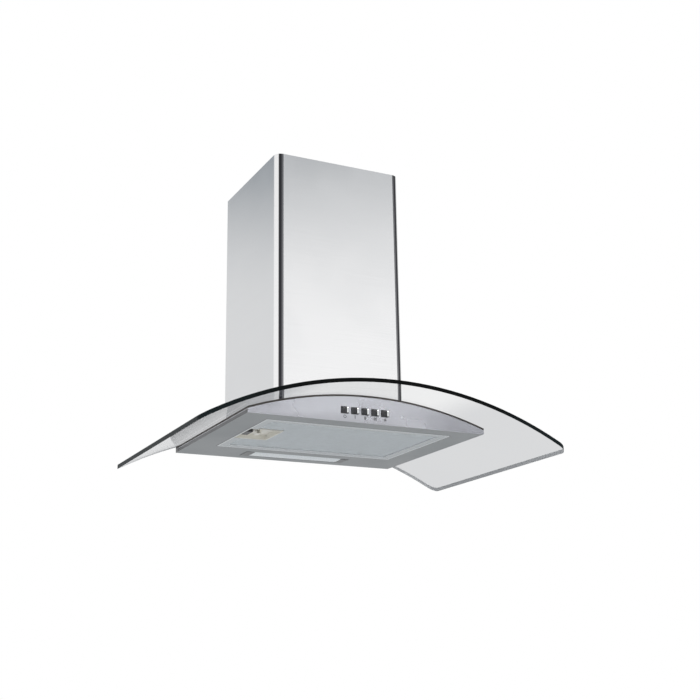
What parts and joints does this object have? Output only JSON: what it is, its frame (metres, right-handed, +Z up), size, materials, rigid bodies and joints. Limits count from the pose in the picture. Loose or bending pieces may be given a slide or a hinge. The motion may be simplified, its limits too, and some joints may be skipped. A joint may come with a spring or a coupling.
{
  "type": "chimney range hood",
  "caption": "Wall range hood: arched clear glass over a shallow steel canopy with push buttons, lamp, tilting grease filter, blower and a sliding steel chimney.",
  "frame": {"origin": "middle of the wall rail's two screw holes, on the wall's face", "axes": "+Y into the wall, +Z up, +X to the right of a person who faces the hood"},
  "size_m": [0.6, 0.412, 0.5024],
  "materials": {
    "clear_glass": "polished clear glass with a faint green edge",
    "brushed_steel": "brushed",
    "galvanised_sheet": "galvanised",
    "screw_steel": "bright",
    "gasket_rubber": "matt",
    "grommet_rubber": "matt",
    "filter_aluminium": "satin",
    "handle_plastic": "satin",
    "dark_plastic": "satin",
    "button_plastic": "gloss",
    "lens_plastic": "frosted",
    "fan_plastic": "moulded",
    "motor_paint": "painted",
    "laminated_iron": "bare",
    "bearing_steel": "ground",
    "capacitor_case": "satin",
    "electrical_plastic": "satin",
    "gland_plastic": "satin",
    "board_laminate": "satin",
    "spring_steel": "drawn wire",
    "fan_metal": "satin"
  },
  "bodies": {
    "hood": {"glass_canopy": "clear_glass", "glass_gasket": "gasket_rubber", "canopy_tray": "brushed_steel", "control_fascia": "brushed_steel", "canopy_top": "galvanised_sheet", "glass_washers": "gasket_rubber", "glass_screws": "screw_steel", "blower_box": "galvanised_sheet", "box_screws": "screw_steel", "wall_rail": "galvanised_sheet", "wall_spacers": "dark_plastic", "scroll_casing": "fan_plastic", "scroll_cover": "fan_plastic", "inlet_guard": "dark_plastic", "motor_stator": "laminated_iron", "motor_housing": "motor_paint", "motor_cap": "motor_paint", "motor_bearings": "bearing_steel", "motor_bracket": "galvanised_sheet", "motor_grommets": "grommet_rubber", "motor_screws": "screw_steel", "motor_capacitor": "capacitor_case", "terminal_box": "electrical_plastic", "cable_gland": "gland_plastic", "outlet_collar": "fan_plastic", "collar_screws": "screw_steel", "flap_pins": "spring_steel", "chimney_cover": "brushed_steel", "lamp_housing": "galvanised_sheet", "lamp_board": "board_laminate", "lamp_lens": "lens_plastic", "lamp_clips": "dark_plastic", "switch_carrier": "dark_plastic", "switch_board": "board_laminate", "key_switches": "electrical_plastic"},
    "filter": {"filter_frame": "filter_aluminium", "filter_mesh": "filter_aluminium", "filter_backing": "filter_aluminium", "filter_handle": "handle_plastic", "latch_spring": "spring_steel"},
    "latch": {"filter_latch": "dark_plastic"},
    "impeller": {"impeller": "fan_metal", "impeller_blades": "fan_metal", "impeller_rings": "fan_metal", "motor_shaft": "bearing_steel", "motor_rotor": "laminated_iron", "impeller_nut": "screw_steel"},
    "flap_right": {"flap_right": "fan_plastic"},
    "flap_left": {"flap_left": "fan_plastic"},
    "extension": {"chimney_extension": "brushed_steel", "extension_bracket": "galvanised_sheet"},
    "button_off": {"button_off": "button_plastic"},
    "button_low": {"button_low": "button_plastic"},
    "button_medium": {"button_medium": "button_plastic"},
    "button_high": {"button_high": "button_plastic"},
    "button_light": {"button_light": "button_plastic"}
  },
  "joints": [
    {"name": "filter_tilt", "type": "hinge", "parent": "hood", "child": "filter", "pos_m": [0.1576, -0.1935, -0.215], "axis": [0, -1, 0], "range_deg": [0, 30]},
    {"name": "latch_slide", "type": "slide", "parent": "filter", "child": "latch", "axis": [1, 0, 0], "range_m": [0, 0.006], "stiffness_N_per_m": 300, "springref_m": -0.003, "deforming": ["latch_spring"]},
    {"name": "impeller_spin", "type": "hinge", "parent": "hood", "child": "impeller", "pos_m": [0, -0.1105, -0.065], "axis": [1, 0, 0], "continuous": true},
    {"name": "flap_right_swing", "type": "hinge", "parent": "hood", "child": "flap_right", "pos_m": [0.0045, -0.074, 0.089], "axis": [0, -1, 0], "range_deg": [0, 75]},
    {"name": "flap_left_swing", "type": "hinge", "parent": "hood", "child": "flap_left", "pos_m": [-0.0045, -0.074, 0.089], "axis": [0, 1, 0], "range_deg": [0, 75]},
    {"name": "extension_slide", "type": "slide", "parent": "hood", "child": "extension", "axis": [0, 0, 1], "range_m": [0, 0.34]},
    {"name": "button_off_press", "type": "slide", "parent": "hood", "child": "button_off", "axis": [0, 1, 0], "range_m": [0, 0.002], "stiffness_N_per_m": 400, "springref_m": -0.003},
    {"name": "button_low_press", "type": "slide", "parent": "hood", "child": "button_low", "axis": [0, 1, 0], "range_m": [0, 0.002], "stiffness_N_per_m": 400, "springref_m": -0.003},
    {"name": "button_medium_press", "type": "slide", "parent": "hood", "child": "button_medium", "axis": [0, 1, 0], "range_m": [0, 0.002], "stiffness_N_per_m": 400, "springref_m": -0.003},
    {"name": "button_high_press", "type": "slide", "parent": "hood", "child": "button_high", "axis": [0, 1, 0], "range_m": [0, 0.002], "stiffness_N_per_m": 400, "springref_m": -0.003},
    {"name": "button_light_press", "type": "slide", "parent": "hood", "child": "button_light", "axis": [0, 1, 0], "range_m": [0, 0.002], "stiffness_N_per_m": 400, "springref_m": -0.003}
  ]
}
